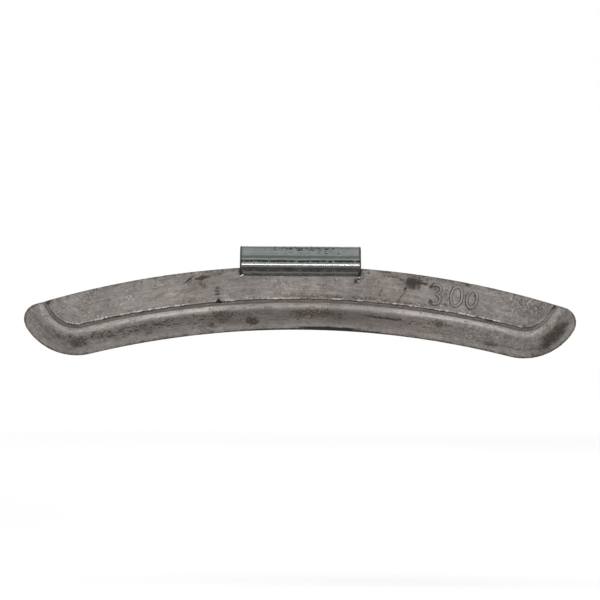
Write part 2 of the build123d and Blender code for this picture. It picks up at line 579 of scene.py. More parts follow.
def bead_front(size, inset):
    """Height of bead and groove in front of the land, at an inset from the lower edge."""
    crest = np.array((size.crest_inset, size.crest_height))
    edge = np.array((0.0, -size.edge_drop))
    foot = np.array((size.bead_width, -size.groove_depth))
    chord = unit(crest - edge)
    reach = math.sqrt(size.flank_radius**2 - np.dot(crest - edge, crest - edge) / 4)
    flank_centre = (crest + edge) / 2 - left_of(chord) * reach
    fall = unit(foot - crest)
    start = crest - left_of(fall) * size.crest_radius - flank_centre
    lean = float(np.dot(start, fall))
    inner = size.flank_radius - size.crest_radius
    centre = start - fall * (math.sqrt(lean**2 - np.dot(start, start) + inner**2) + lean) + flank_centre
    flank_end = flank_centre + unit(centre - flank_centre) * size.flank_radius
    fall_start = centre + left_of(fall) * size.crest_radius
    flank = flank_centre[1] + np.sqrt(size.flank_radius**2 - (inset - flank_centre[0]) ** 2)
    round_top = centre[1] + np.sqrt(np.maximum(size.crest_radius**2 - (inset - centre[0]) ** 2, 0.0))
    shoulder = foot[1] + (inset - foot[0]) * fall[1] / fall[0]
    bead = np.where(inset < flank_end[0], flank, np.where(inset < fall_start[0], round_top, shoulder))
    grooved = -soft_least(-bead, np.full_like(inset, size.groove_depth), size.groove_blend)
    return np.where(inset < size.crest_inset, bead, grooved)


def back_depth(size, below):
    """Depth of the crowned back behind the land, on an arc through three points of the section."""
    top = size.top_thickness
    terms = []
    sums = []
    for depth, drop in ((size.crown_thickness, size.crown_drop), (size.bottom_thickness, size.height)):
        terms.append((2 * (depth - top), 2 * drop))
        sums.append(depth**2 - top**2 + drop**2)
    centre_depth, centre_drop = np.linalg.solve(np.array(terms), np.array(sums))
    radius = math.hypot(top - centre_depth, centre_drop)
    return centre_depth + np.sqrt(radius**2 - (below - centre_drop) ** 2)


def casting_grid(size):
    """Rows of the casting from the lower edge to the top: X and Z, run, inset and front height."""
    outline = Outline(size)
    half_columns = 281
    half_wall = 0.03 * MM
    shares = np.linspace(-1.0, 1.0, 2 * half_columns + 1)
    land_edge = size.bead_width + size.groove_width
    tip_rows = size.tip_radius * (1 - np.cos(np.linspace(0.0, 1.0, 8)))
    bead_rows = np.linspace(tip_rows[-1], size.bead_width - 0.2 * MM, 22)[1:]
    groove_rows = np.linspace(size.bead_width - 0.1 * MM, land_edge - half_wall, 7)
    land_rows = land_edge + np.array((half_wall, 0.1 * MM, 0.2 * MM, 0.35 * MM))
    rows = []
    for inset in np.concatenate((tip_rows, bead_rows, groove_rows, land_rows)):
        points, run = outline.row(inset, shares)
        raised = 0.0 if inset > land_edge else bead_front(size, np.full(len(run), inset))
        rows.append((points, run, np.full(len(run), inset), np.zeros(len(run)) + raised))
    start, run, inset, height = rows[-1]
    end_turn = math.atan2(start[-1, 0], start[-1, 1] + size.top_radius)
    turns = shares * end_turn
    rim = outline.top + size.top_radius * np.stack((np.sin(turns), np.cos(turns)), axis=1)
    climbs = np.concatenate((np.linspace(0.0, 0.93, 22)[1:], np.linspace(0.945, 1.0, 6)))
    for climb in climbs:
        points = start + climb * (rim - start)
        deeper = inset + climb * np.hypot(*(rim - start).T)
        rows.append((points, run, deeper, height))
    return outline, [np.array([row[part] for row in rows]) for part in range(4)]


def grid_faces(across, up, first=0):
    """Quads of a grid of points stored row by row."""
    index = first + np.arange(across * up).reshape(up, across)
    quads = np.stack((index[:-1, :-1], index[:-1, 1:], index[1:, 1:], index[1:, :-1]), axis=-1)
    return quads.reshape(-1, 4)


def casting_mesh(size):
    """Closed mesh of the casting, with run, inset, rim and front on its points, in millimetres."""
    outline, (points, run, inset, height) = casting_grid(size)
    up, across = run.shape
    flat = points.reshape(-1, 2)
    below = outline.below_top(flat)
    gap = outline.from_edge(flat, inset.ravel())
    soft = np.where(inset.ravel() < size.tip_radius / 2, 0.0, 1.0)
    front_y = -height.ravel() + soft * rounded(gap, size.front_round)
    back_y = back_depth(size, below) - rounded(gap, size.back_round)
    front = np.stack((flat[:, 0], front_y, flat[:, 1]), axis=1)
    back = np.stack((flat[:, 0], back_y, flat[:, 1]), axis=1)
    count = len(flat)
    index = np.arange(count).reshape(up, across)
    loop = np.concatenate((index[0, :-1], index[:-1, -1], index[-1, :0:-1], index[:0:-1, 0]))
    wall_rows = 5
    shares = np.linspace(0.0, 1.0, wall_rows + 1)[1:-1]
    walls = [front[loop] + share * (back[loop] - front[loop]) for share in shares]
    rings = [loop]
    rings += [2 * count + step * len(loop) + np.arange(len(loop)) for step in range(len(walls))]
    rings.append(loop + count)
    quads = [grid_faces(across, up), grid_faces(across, up, count)[:, ::-1]]
    for near, far in zip(rings, rings[1:]):
        quads.append(np.stack((near, far, np.roll(far, -1), np.roll(near, -1)), axis=-1))
    all_points = np.concatenate([front, back] + walls)
    repeats = len(walls)

    def spread(values):
        flat_values = values.ravel()
        return np.concatenate((flat_values, flat_values, np.tile(flat_values[loop], repeats))) * PER_MM

    face = np.concatenate((np.ones(count), np.zeros(count + repeats * len(loop))))
    attributes = {"run": spread(run), "inset": spread(inset), "rim": spread(gap), "front": face}
    return new_mesh("lead_casting", all_points.tolist(), np.concatenate(quads).tolist(), attributes)


def burr_dashes(graph):
    """1 where the burr stands along the land's edge, in broken clumps, and 0 where it is worn off."""
    outside = 0.6
    inside = 0.2
    run = graph.attribute("run")
    stretches = []
    for low, high in BURR_STRETCHES:
        stretches.append(graph.band(run, low - outside, low + inside, high - inside, high + outside))
    dashes = graph.noise(graph.joined(run, 0.0, 0.0), 1.7, 4.0, 0.72, seed=41.0)
    return graph.rise(dashes + graph.most(*stretches) * 0.15, 0.55, 0.68)


def gas_pits(graph, place):
    """1 in the gas pits of the skin, at a place in millimetres."""
    return graph.rise(graph.noise(place, 1.3, 1.0, seed=23.0), 0.66, 0.76)


def nick_mask(graph, x, z, nick_x, nick_z):
    """1 inside the V-shaped nick, which narrows upwards from its foot at the land's edge."""
    height = 0.8
    half_width = 0.6
    up = z - nick_z
    inside = graph.math("SUBTRACT", (1.0 - up / height) * half_width, abs(x - nick_x))
    return graph.rise(inside, -0.08, 0.1) * graph.rise(up, -0.22, -0.05)


def cast_skin():
    """Tree that gives a smooth casting its hollows, grain, pits, burr and nick, all but the burr inwards."""
    names = ("Waviness", "Grain", "Pit Depth", "Burr Height", "Burr Inset", "Nick Depth", "Nick X", "Nick Z")
    tree = GeometryGraph("cast_skin", names)
    chip_depth = 0.1 * MM
    place = tree.scaled(tree.position(), PER_MM)
    front = tree.attribute("front")
    rim = tree.attribute("rim")
    depth = 0.25 + front * tree.rise(rim, 0.0, 1.2) * 0.75
    hollow = tree.noise(place, 0.13, 2.0, seed=3.0) * tree.given("Waviness") * depth
    grain = tree.noise(place, 1.7, 4.0, 0.6, seed=11.0) * tree.given("Grain") * depth
    pits = gas_pits(tree, place) * tree.given("Pit Depth") * depth
    chipped = tree.rise(tree.noise(place, 0.9, 3.0, 0.7, seed=31.0), 0.5, 0.75)
    chips = tree.rise(rim, 0.5, 0.0) * chipped * chip_depth
    from_burr = tree.attribute("inset") - tree.given("Burr Inset") * PER_MM
    burr = tree.band(from_burr, 0.0, 0.02, 0.08, 0.3) * burr_dashes(tree) * tree.given("Burr Height")
    x, _, z = tree.parts(place)
    nick = nick_mask(tree, x, z, tree.given("Nick X") * PER_MM, tree.given("Nick Z") * PER_MM)
    outward = burr - (hollow + grain + pits + chips)
    offset = tree.scaled(tree.normal(), outward)
    dent = tree.joined(0.0, nick * front * tree.given("Nick Depth"), 0.0)
    return tree, tree.moved(tree.given("Geometry"), tree.vector("ADD", offset, dent))


# Lead finish

# Marks of the front: strength, X and Z of the middle, half sizes along X and Z, turn and softness
BROAD_STAINS = {
    "smudge": (1.0, 23.6, -3.4, 2.5, 1.6, 5.0, 0.8),
    "smudge_core": (1.35, 23.9, -3.2, 1.9, 1.1, 5.0),
    "smudge_haze": (0.5, 26.6, -2.6, 2.4, 1.0, 8.0, 0.8),
    "end_stain": (1.0, 53.2, -14.3, 5.6, 1.7, -45.0, 0.8),
    "end_shade": (0.45, 47.5, -8.6, 6.0, 2.4, 14.0),
    "corner_blotch": (0.75, -46.2, -16.2, 2.8, 1.4, -15.0),
    "bead_smear": (0.75, -16.2, -10.6, 2.9, 1.8),
    "crest_shade": (0.62, -13.4, -10.2, 5.4, 0.7, -3.0),
    "smear_haze": (0.4, -20.6, -3.6, 3.4, 1.6, -8.0, 0.8),
    "edge_patch": (0.8, -18.5, -12.4, 0.9, 0.6),
    "bead_spot": (0.95, -10.1, -11.5, 1.9, 1.1),
    "bead_patch": (0.75, 3.0, -9.8, 6.4, 1.3),
    "side_blotch": (0.7, 29.0, -11.9, 1.9, 1.2),
    "low_blotch": (0.6, 40.0, -16.1, 2.2, 0.8, 12.0),
    "numeral_dirt": (0.5, 28.0, -4.4, 1.5, 1.1),
}
NARROW_STREAKS = {
    "smudge_tail": (1.0, 25.7, -3.5, 1.6, 0.45, 8.0),
    "smudge_leg": (1.0, 22.1, -4.5, 0.4, 1.0, 35.0),
    "smudge_arm": (0.8, 21.2, -2.7, 0.9, 0.35, 12.0),
    "edge_streak": (0.75, 19.2, -2.1, 2.2, 0.28, 8.0),
    "smear": (1.0, -20.7, -2.6, 2.2, 0.55, -12.0),
    "smear_tail": (0.85, -23.2, -2.9, 1.7, 0.3, -38.0),
    "smear_end": (0.6, -17.0, -1.9, 0.9, 0.35, -12.0),
    "smear_drip": (0.65, -20.6, -4.0, 1.5, 0.7, 30.0),
    "upper_nick_dash": (0.9, -17.4, -4.7, 0.7, 0.24, -8.0),
    "middle_nick_dash": (0.9, -17.4, -5.35, 0.7, 0.24, -8.0),
    "lower_nick_dash": (0.9, -17.4, -6.0, 0.7, 0.24, -8.0),
    "left_groove_end": (1.0, -52.7, -7.9, 1.0, 0.5, -35.0),
    "right_groove_end": (1.0, 53.4, -8.2, 0.4, 0.9, 40.0),
    "point_shade": (0.65, 30.4, -7.85, 0.42, 0.42),
    "spot_over_point": (0.6, 30.5, -5.7, 0.4, 0.4),
    "dash_over_point": (0.7, 30.6, -4.85, 0.7, 0.16),
    "dash_in_nought": (0.8, 32.96, -6.5, 0.65, 0.14),
    "dash_over_nought": (1.0, 35.1, -3.8, 0.9, 0.2, 8.0),
    "three_top": (1.0, 27.4, -4.15, 0.5, 0.4, -35.0),
    "three_foot": (1.0, 27.4, -7.2, 0.35, 0.6, -35.0),
}
# Black lines and marks, with painted shadows among them.
BLACK_LINES_AND_SHADOWS = {
    "scratch": (1.0, 21.4, -6.0, 0.16, 1.7, 42.0),
    "short_scratch": (0.8, 16.8, -5.3, 0.14, 1.2, 22.0),
    "smudge_ray": (0.8, 25.0, -2.4, 0.16, 0.8, 10.0),
    "smudge_soot": (0.42, 23.9, -3.2, 2.0, 1.1, 5.0),
    "smudge_knot": (0.6, 25.0, -3.65, 0.6, 0.35, 8.0),
    "end_soot": (0.28, 51.9, -16.0, 2.1, 0.9, -50.0),
    "bead_crack": (0.6, -18.1, -9.8, 0.16, 0.7, -15.0),
    "groove_crack": (1.0, 17.2, -10.75, 5.0, 0.26, 7.0),
    # Painted shadow beside the clip's left edge.
    "shadow_beside_clip": (1.0, -12.75, -1.2, 0.3, 1.0),
    "end_flake": (1.0, 47.5, -12.3, 1.2, 0.24),
    "side_flake": (1.0, 39.9, -11.25, 1.2, 0.26, 12.0),
    # Painted shadows beside the blobs at the clip's right foot.
    "shadow_beside_blob": (1.0, 11.65, -3.1, 0.5, 0.55),
    "shadow_over_blob": (1.0, 12.3, -2.75, 0.45, 0.25),
}


class LeadPaint(Paint):
    """Paint of the casting, with its place on the front and its noises to hand."""

    def __init__(self, name):
        super().__init__(name)
        self.inset = self.attribute("inset")
        self.rim = self.attribute("rim")
        self.front = self.attribute("front")
        self.run = self.attribute("run")
        self.from_middle = abs(self.run)
        self.x, self.y, self.z = self.parts(self.place)
        self.way = self.joined(self.run, self.inset, self.y)
        self.mottle = self.noise(self.place, 0.7, 4.0, 0.6, seed=9.0)
        self.grain = self.noise(self.place, 2.2, 3.0, 0.65, seed=14.0)
        self.speck = self.noise(self.place, 3.2, 2.0, 0.5, seed=21.0)
        self.ragged = (self.mottle - 0.5) * 0.7 + (self.grain - 0.5) * 0.9
        self.pepper = (self.grain - 0.5) * 2.6 + (self.speck - 0.5) * 2.6
        self.gathered = self.rise(self.noise(self.place, 0.3, 2.0, 0.6, seed=91.0), 0.48, 0.64)

    def along(self, length, width, seed, roughness=0.65):
        """Noise drawn out along the weight, with features of about that length and width."""
        stretch = self.stretched(self.way, 1.0 / length, 1.0 / width, 1.0 / width)
        return self.noise(stretch, 1.0, 4.0, roughness, seed)

    def near_ends(self, left, right, fade):
        """1 beyond a run to the left and a run to the right, and 0 between."""
        return self.most(self.rise(self.run, left, left - fade), self.rise(self.run, right, right + fade))


def bare_lead(paint, finish):
    """Colour of the bare skin: clouds, mottle, rubs along the weight, and grain that is coarse in patches."""
    cloud = paint.noise(paint.place, 0.16, 5.0, 0.62, seed=5.0)
    rubs = (paint.along(2.6, 0.4, seed=27.0) - 0.5) * 0.65 + (paint.along(6.0, 0.9, seed=83.0) - 0.5) * 0.5
    patches = paint.rise(paint.noise(paint.place, 0.14, 3.0, 0.6, seed=57.0), 0.42, 0.66)
    on_bead = paint.rise(paint.inset, 6.6, 5.8)
    coarse = patches * 0.2 + on_bead * (0.16 + paint.rise(paint.from_middle, 20.0, 42.0) * 0.3)
    fine = (paint.grain - 0.5) * 0.85 + (paint.speck - 0.5) + (paint.along(0.9, 0.22, seed=81.0) - 0.5) * 1.2
    hairlines = paint.rise(paint.along(3.5, 0.14, seed=87.0), 0.58, 0.7) * 0.25
    tone = 0.385 + (cloud - 0.5) * 0.6 + (paint.mottle - 0.5) * 0.35 + rubs
    tone = tone + fine * (0.22 + coarse) + hairlines
    hue = paint.rise(paint.noise(paint.place, 0.09, 2.0, seed=19.0), 0.4, 0.62)
    hue = paint.least(hue + paint.rise(paint.from_middle, 22.0, 42.0) * 0.75, 1.0)
    pale = paint.mix(finish.lead_pale, finish.lead_cool, hue)
    return paint.mix(finish.lead_dark, pale, paint.rise(tone, 0.0, 1.0))


def stain_dirt(paint, stirred, shaken):
    """Stains of the front, grained at their edges and closing up towards their middles."""
    stains = paint.most(paint.marks(stirred, BROAD_STAINS), paint.marks(shaken, NARROW_STREAKS))
    grained = paint.rise(stains + paint.pepper * 0.5, 0.15, 1.0)
    return grained * paint.rise(stains, 0.03, 0.25)


def crest_dirt(paint):
    """Dirt along the bead's crest: film, blotches and flecks, more in some stretches than in others."""
    left = paint.band(paint.run, -58.0, -48.0, -13.0, -9.0)
    middle = paint.band(paint.run, -3.5, -1.0, 8.0, 13.0) * 0.9
    right = paint.band(paint.run, 10.0, 24.0, 32.0, 46.0) * 0.4
    drifts = paint.rise(paint.along(6.2, 2.5, seed=37.0), 0.34, 0.56)
    soil = paint.most(left, middle, right, 0.15) * (0.3 + drifts * 0.7)
    film = paint.band(paint.inset + paint.ragged * 1.8, 1.8, 3.0, 3.75, 4.45) * soil
    blotches = paint.rise(paint.along(1.6, 0.6, seed=85.0) + film * 0.13, 0.6, 0.7)
    flecks = paint.along(0.8, 0.4, seed=95.0) + film * 0.09 + paint.gathered * 0.06
    flecks = paint.rise(flecks, 0.62, 0.68)
    return paint.most(film * 0.38, paint.most(blotches * 0.7, flecks) * paint.rise(film, 0.05, 0.3))


def groove_dirt_and_shade(paint, groove_start, land_edge):
    """Darker in the groove: thin on its floor, painted shadow in patches under the land's edge, and painted
    shade along the bead's foot.
    """
    floor = paint.rise(paint.inset, groove_start - 0.1, groove_start + 0.2)
    floor = floor * paint.rise(paint.inset, land_edge + 0.05, land_edge - 0.05)
    patches = paint.rise(paint.along(3.0, 3.0, seed=97.0), 0.4, 0.6) * 0.7
    # Painted shadow that the land's edge casts on the groove's floor.
    under = paint.near(paint.inset, land_edge, -0.45, -0.25, -0.03, 0.03)
    under = under * (patches + paint.rise(paint.run, -24.0, -34.0) * 0.25)
    # Painted shade in the corner at the bead's foot.
    foot = paint.near(paint.inset, groove_start, -0.23, -0.11, 0.13, 0.25)
    return paint.most(floor * (0.05 + paint.mottle * 0.6), under, foot * (0.3 + paint.mottle * 0.5))


def land_dirt(paint, land_edge):
    """Dirt of the land: grains caught behind the burr, dashes towards the ends, scuffs and creases."""
    caught = paint.near(paint.inset + (paint.mottle - 0.5) * 0.8, land_edge, 0.15, 0.4, 0.7, 1.4)
    share = paint.band(paint.run, -4.0, 2.0, 22.0, 28.0) * 0.45
    grains = caught * paint.rise(paint.pepper + share, 0.25, 0.6) * 0.8
    near_top = paint.rise(paint.rim, 2.4, 0.6)
    on_land = paint.rise(paint.inset, land_edge + 0.3, land_edge + 1.0)
    dashes = paint.rise(paint.along(2.0, 0.3, seed=73.0) + near_top * 0.07, 0.6, 0.69)
    dashes = dashes * paint.near_ends(-34.0, 26.0, 9.0) * on_land * (0.38 + paint.gathered * 0.5)
    scuffs = paint.rise(paint.along(3.3, 1.8, seed=51.0, roughness=0.72), 0.53, 0.68) * 0.35
    creases = paint.rise(abs(paint.noise(paint.place, 0.45, 4.0, 0.62, seed=61.0) - 0.5), 0.045, 0.01)
    creases = creases * paint.rise(paint.noise(paint.place, 0.3, 2.0, seed=63.0), 0.54, 0.66) * 0.45
    return paint.most(grains, dashes, scuffs, creases)


def flank_film(paint):
    """Thin brown film on the bead's flank, densest under the crest and towards mid-length."""
    film = paint.band(paint.run, -46.0, -24.0, 12.0, 36.0) * 0.25
    film = film + paint.band(paint.run, 0.0, 4.0, 12.0, 18.0) * 0.06 + paint.mottle * 0.12
    return film * paint.rise(paint.inset, 5.0, 4.0) * (0.12 + paint.rise(paint.inset, 0.8, 3.3) * 1.45)


def edge_dirt(paint):
    """Dirt worn into the rim of the casting, with a pepper of it at both ends."""
    worn = paint.rise(paint.rim + (paint.mottle - 0.5) * 1.3 - paint.pepper * 0.45, 0.45, 0.05)
    ends = paint.rise(paint.from_middle, 46.0, 56.0) * paint.rise(paint.pepper - paint.rim * 0.33, 0.05, 0.4)
    spread = paint.most(paint.front, paint.gathered * 0.5, 0.12)
    return paint.most(worn * spread * (0.35 + paint.grain * 0.8), ends * paint.front * 0.6)


def speck_dirt(paint):
    """Fine specks all over, more of them on the bead's flank and at the ends."""
    often = paint.rise(paint.inset, 5.0, 4.0) * 0.06 + paint.rise(paint.from_middle, 38.0, 56.0) * 0.05
    return paint.rise(paint.speck + paint.grain * 0.5 + often, 0.92, 1.04) * 0.55


def black_marks_and_shade(paint, size, shaken):
    """Black on the front: scratches, painted shade in the nick, painted shadow of the parting flash in lines
    at the bottom edge, and painted shade round the feet of the numerals, darkest on their left-facing slopes.
    """
    scratches = paint.marks(shaken, BLACK_LINES_AND_SHADOWS) * (0.8 + paint.pepper * 0.6)
    # Painted shade inside the nick.
    nick = nick_mask(paint, paint.x, paint.z, size.nick_x * PER_MM, size.nick_z * PER_MM)
    # Painted shadow of the parting flash along the bottom edge, broad in one stretch and thin in another.
    broad_flash_shadow = paint.rise(paint.inset + paint.ragged * 0.5, 0.85, 0.68)
    broad_flash_shadow = broad_flash_shadow * paint.band(paint.run, -1.5, 1.5, 10.5, 13.5)
    thin_flash_shadow = paint.rise(paint.inset + paint.ragged * 0.35, 0.42, 0.3)
    thin_flash_shadow = thin_flash_shadow * paint.band(paint.run, -12.5, -9.5, 16.0, 22.0) * 0.85
    broken = paint.rise(paint.mottle + (paint.grain - 0.5) * 0.6, 0.36, 0.56)
    # Painted shade at the numerals' feet, darkest on slopes that face left.
    numeral_shade = paint.rise(paint.attribute("foot"), 0.02, 0.16) * (0.3 + broken * 0.6)
    numeral_shade = numeral_shade * (0.45 + paint.attribute("shade") * 0.55)
    return paint.least(paint.most(scratches, nick, broad_flash_shadow, thin_flash_shadow, numeral_shade) * paint.front, 1.0)


def fresh_lead_and_highlights(paint, land_edge):
    """Bright lead: the burr, partly a painted catch light; painted highlights on the bead's shoulder and lip
    and at an end; painted bounce light at the bead's foot; painted glints with some bright flecks; and fresh
    dross.
    """
    grain = paint.grain
    mottle = paint.mottle
    # The burr is fresh lead, and its bright line along the land's edge is partly a painted catch light.
    burr = paint.near(paint.inset - (mottle - 0.5) * 0.9, land_edge, -0.1, 0.03, 0.15, 0.4)
    burr = burr * burr_dashes(paint) * paint.rise(grain, 0.3, 0.6)
    # Stretches where the painted highlights on the bead are stronger.
    left = paint.band(paint.run, -39.0, -34.0, -19.0, -13.0)
    right = paint.band(paint.run, 16.0, 22.0, 40.0, 46.0)
    shiny = paint.most(left, right) * 0.22
    # Painted highlight on the bead's shoulder below the groove, and on its lip just under the groove.
    crest = paint.band(paint.inset + paint.ragged * 0.3, 4.6, 5.15, 5.6, 5.95) * (mottle * 0.6 + grain * 0.9)
    lip = paint.band(paint.inset + paint.ragged * 0.1, 5.2, 5.4, 5.6, 5.72) * (0.4 + grain * 0.8)
    # Painted bounce light on the bead's lower flank near the bottom edge.
    foot = paint.band(paint.inset + paint.ragged * 0.4, 0.3, 0.6, 1.0, 1.7) * (0.4 + mottle * 1.2)
    # Painted highlight on the crest at the right end.
    end = paint.blot(paint.place, 52.0, -10.6, 3.2, 0.8, -42.0, 0.8) * (0.4 + grain * 0.9)
    chalky = paint.blot(paint.place, 47.2, -8.0, 4.2, 1.8, 14.0)
    crumbly = paint.gathered * paint.rise(paint.from_middle, 18.0, 34.0) * 0.05 + chalky * 0.09
    # Painted glints, with bright flecks in crumbly patches near the ends and on a chalky scuff.
    glints_and_flecks = paint.rise(paint.noise(paint.place, 2.6, 1.0, seed=93.0) + crumbly, 0.68, 0.78)
    # Painted highlights and painted bounce light on the bead.
    worn = paint.most(crest * (0.12 + shiny), lip * (0.1 + shiny), foot * 0.06, end * 0.3)
    on_front = paint.most(burr * 0.52, worn, glints_and_flecks * 0.36) * paint.front
    dross = paint.attribute("fresh") * (0.18 + grain * 0.7)
    return paint.least(paint.most(on_front, dross), 1.0)


def lead_paint(finish, size):
    """Dull cast lead: the bare skin, bright where it is fresh and with painted highlights, with dirt and
    painted shade, and then black marks, painted shade and painted shadows over it.
    """
    paint = LeadPaint(LEAD)
    groove_start = size.bead_width * PER_MM
    land_edge = groove_start + size.groove_width * PER_MM
    swirl = paint.noise(paint.place, 1.1, 5.0, 0.75, seed=33.0, output="Color")
    fray = paint.vector("SUBTRACT", swirl, (0.5, 0.5, 0.5))
    stirred = paint.vector("ADD", paint.place, paint.scaled(fray, 3.2))
    shaken = paint.vector("ADD", paint.place, paint.scaled(fray, 1.3))
    on_front = paint.most(
        stain_dirt(paint, stirred, shaken),
        crest_dirt(paint),
        groove_dirt_and_shade(paint, groove_start, land_edge),
        land_dirt(paint, land_edge),
        flank_film(paint),
    )
    pits = gas_pits(paint, paint.place)
    dirty = paint.most(on_front * paint.front, edge_dirt(paint), speck_dirt(paint), pits * 0.7)
    dirty = paint.least(dirty, 1.0)
    # Fresh lead, with painted highlights, painted bounce light, a painted catch light and painted glints.
    bright = fresh_lead_and_highlights(paint, land_edge)
    skin = paint.mix(bare_lead(paint, finish), finish.lead_bright, bright)
    # Dirt, with painted shadow and painted shade in the groove.
    skin = paint.mix(skin, finish.dirt, dirty)
    # Black scratches, with painted shade in the nick and on the numerals, and painted shadows under the
    # parting flash and beside the clip and blobs.
    skin = paint.mix(skin, finish.soot, black_marks_and_shade(paint, size, shaken))
    relief = paint.grain * 0.6 + paint.speck * 0.4 - pits * 0.5
    return paint.finish(
        base_color=skin,
        specular_ior_level=0.25,
        metallic=0.08 - dirty * 0.08,
        roughness=0.58 + (paint.grain - 0.5) * 0.3 + dirty * 0.2 - bright * 0.2,
        normal=paint.bump(relief, 0.04 * MM, 0.9),
    )


class WEIGHT_OT_casting(bpy.types.Operator):
    """Lead casting: flat land, groove, bead round the bottom and ends, and crowned back"""

    bl_idname = "weight.casting"
    bl_label = "Lead Casting"

    def execute(self, context):
        size = settings().casting
        tree, skin = cast_skin()
        tree.finish(skin, lead_paint(settings().finish, size))
        values = {
            "Waviness": size.waviness,
            "Grain": size.grain,
            "Pit Depth": size.pit_depth,
            "Burr Height": size.burr_height,
            "Burr Inset": size.bead_width + size.groove_width,
            "Nick Depth": size.nick_depth,
            "Nick X": size.nick_x,
            "Nick Z": size.nick_z,
        }
        mesh = tree.mesh(new_object("casting_blank", casting_mesh(size)), values)
        smooth(mesh, degrees=50.0)
        dress(new_object("lead_casting", mesh), "cast_body")
        return {"FINISHED"}


# Spring clip

def new_curve(name, splines, cyclic=False):
    """A curve object of straight runs through lists of points."""
    data = bpy.data.curves.new(name, "CURVE")
    data.dimensions = "3D"
    for points in splines:
        spline = data.splines.new("POLY")
        spline.points.add(len(points) - 1)
        for entry, point in zip(spline.points, points):
            entry.co = (*point, 1.0)
        spline.use_cyclic_u = cyclic
    return new_object(name, data)


def strip_section(size):
    """Points round the strip's section: width along X, thickness along Y, with rounded edges."""
    half = size.width / 2 - size.edge_round
    columns = 72
    corner_steps = 5
    points = []
    for side, start, face_y in ((1, -90.0, 0.0), (-1, 90.0, size.thickness)):
        points += [(along, face_y, 0.0) for along in np.linspace(-half, half, columns)[1:-1] * side]
        for corner in range(2):
            at_front = (corner == 0) == (side > 0)
            corner_y = size.edge_round if at_front else size.thickness - size.edge_round
            for step in range(corner_steps):
                turn = math.radians(start + 90.0 * (corner + step / (corner_steps - 1)))
                x = side * half + size.edge_round * math.cos(turn)
                points.append((x, corner_y + size.edge_round * math.sin(turn), 0.0))
    return points


def bend_line(size):
    """Corners of the strip's front line, from the tongue's end to the hook's, and the radii of its bends."""
    root_z = -size.exit_depth - size.tongue_cover * math.tan(size.exit_angle)
    nose_z = size.nose_reach * math.tan(size.exit_angle) - size.exit_depth
    roof_z = size.lip_gap + size.thickness
    roof_y = (roof_z - nose_z) / math.tan(size.slope_angle) - size.nose_reach
    hook_y = roof_y + size.roof_length
    end_y = hook_y + size.hook_length * math.cos(size.hook_angle)
    end_z = roof_z - size.hook_length * math.sin(size.hook_angle)
    corners = [
        (0.0, size.tongue_cover, -size.tongue_reach),
        (0.0, size.tongue_cover, root_z),
        (0.0, -size.nose_reach, nose_z),
        (0.0, roof_y, roof_z),
        (0.0, hook_y, roof_z),
        (0.0, end_y, end_z),
    ]
    return corners, (0.0, size.root_radius, size.nose_radius, size.roof_radius, size.hook_radius, 0.0)


def bent_strip():
    """Tree that bends the strip along its line, rounds the hook's corners, dents it and drills the tongue."""
    names = ("Hook Corner", "Half Width", "Dents", "Key Radius", "Key Reach", "Key Y", "Key Z")
    tree = GeometryGraph("bent_strip", names, objects=("Section",))
    bend_steps = 10
    step = 0.2 * MM
    drill_depth = 6.0 * MM
    inputs = {"Curve": tree.given("Geometry"), "Count": bend_steps}
    inputs["Radius"] = tree.node("GeometryNodeInputRadius")
    bent = tree.node("GeometryNodeFilletCurve", {"mode": "POLY"}, inputs)
    fine = tree.node("GeometryNodeResampleCurve", {"mode": "LENGTH"}, {"Curve": bent, "Length": step})
    run = tree.node("GeometryNodeSplineParameter", output="Length")
    fine = tree.stored(fine, "to_end", tree.node("GeometryNodeSplineLength") - run)
    section = tree.node("GeometryNodeObjectInfo", None, {"Object": tree.given("Section")}, "Geometry")
    strip = tree.swept(fine, section)
    corner = tree.given("Hook Corner")
    short = corner - tree.least(tree.attribute("to_end"), corner)
    inside = corner - tree.math("SQRT", corner * corner - short * short)
    narrower = tree.parts(tree.position())[0] * inside / tree.given("Half Width") * -1.0
    shaped = tree.moved(strip, tree.joined(narrower, 0.0, 0.0))
    place = tree.scaled(tree.position(), PER_MM)
    dents = tree.noise(tree.stretched(place, 0.35, 1.0, 1.0), 0.6, 3.0, seed=4.0)
    dented = tree.moved(shaped, tree.scaled(tree.normal(), dents * tree.given("Dents") * -1.0))
    inputs = {"Radius": tree.given("Key Radius"), "Depth": drill_depth}
    drill = tree.node("GeometryNodeMeshCylinder", None, inputs)
    pair = tree.tree.nodes.new("GeometryNodeJoinGeometry")
    for side in (-1.0, 1.0):
        spot = tree.joined(tree.given("Key Reach") * side, tree.given("Key Y"), tree.given("Key Z"))
        inputs = {"Geometry": drill, "Translation": spot, "Rotation": (math.radians(90.0), 0.0, 0.0)}
        tree.feed(pair.inputs[0], tree.node("GeometryNodeTransform", None, inputs))
    inputs = {"Mesh 1": dented, "Mesh 2": Socket(tree, pair.outputs[0])}
    return tree, tree.node("GeometryNodeMeshBoolean", {"operation": "DIFFERENCE", "solver": "EXACT"}, inputs)


# Steel finish

class SteelPaint(Paint):
    """Paint of the clip, with its place and its noises to hand."""

    def __init__(self, name):
        super().__init__(name)
        self.x, self.y, self.z = self.parts(self.place)
        self.facing = self.rise(self.y, 3.4, 2.6)
        self.streaks = self.drawn(0.12, 5.0, 4.0, 0.65, seed=2.0)
        self.fine = self.drawn(0.6, 14.0, 2.0, 0.6, seed=6.0)
        self.cloud = self.noise(self.place, 0.35, 3.0, 0.6, seed=8.0)

    def drawn(self, along, across, detail, roughness, seed, scale=1.0):
        """Noise of its own fineness along the strip and across it."""
        stretch = self.stretched(self.place, along, across, across)
        return self.noise(stretch, scale, detail, roughness, seed)


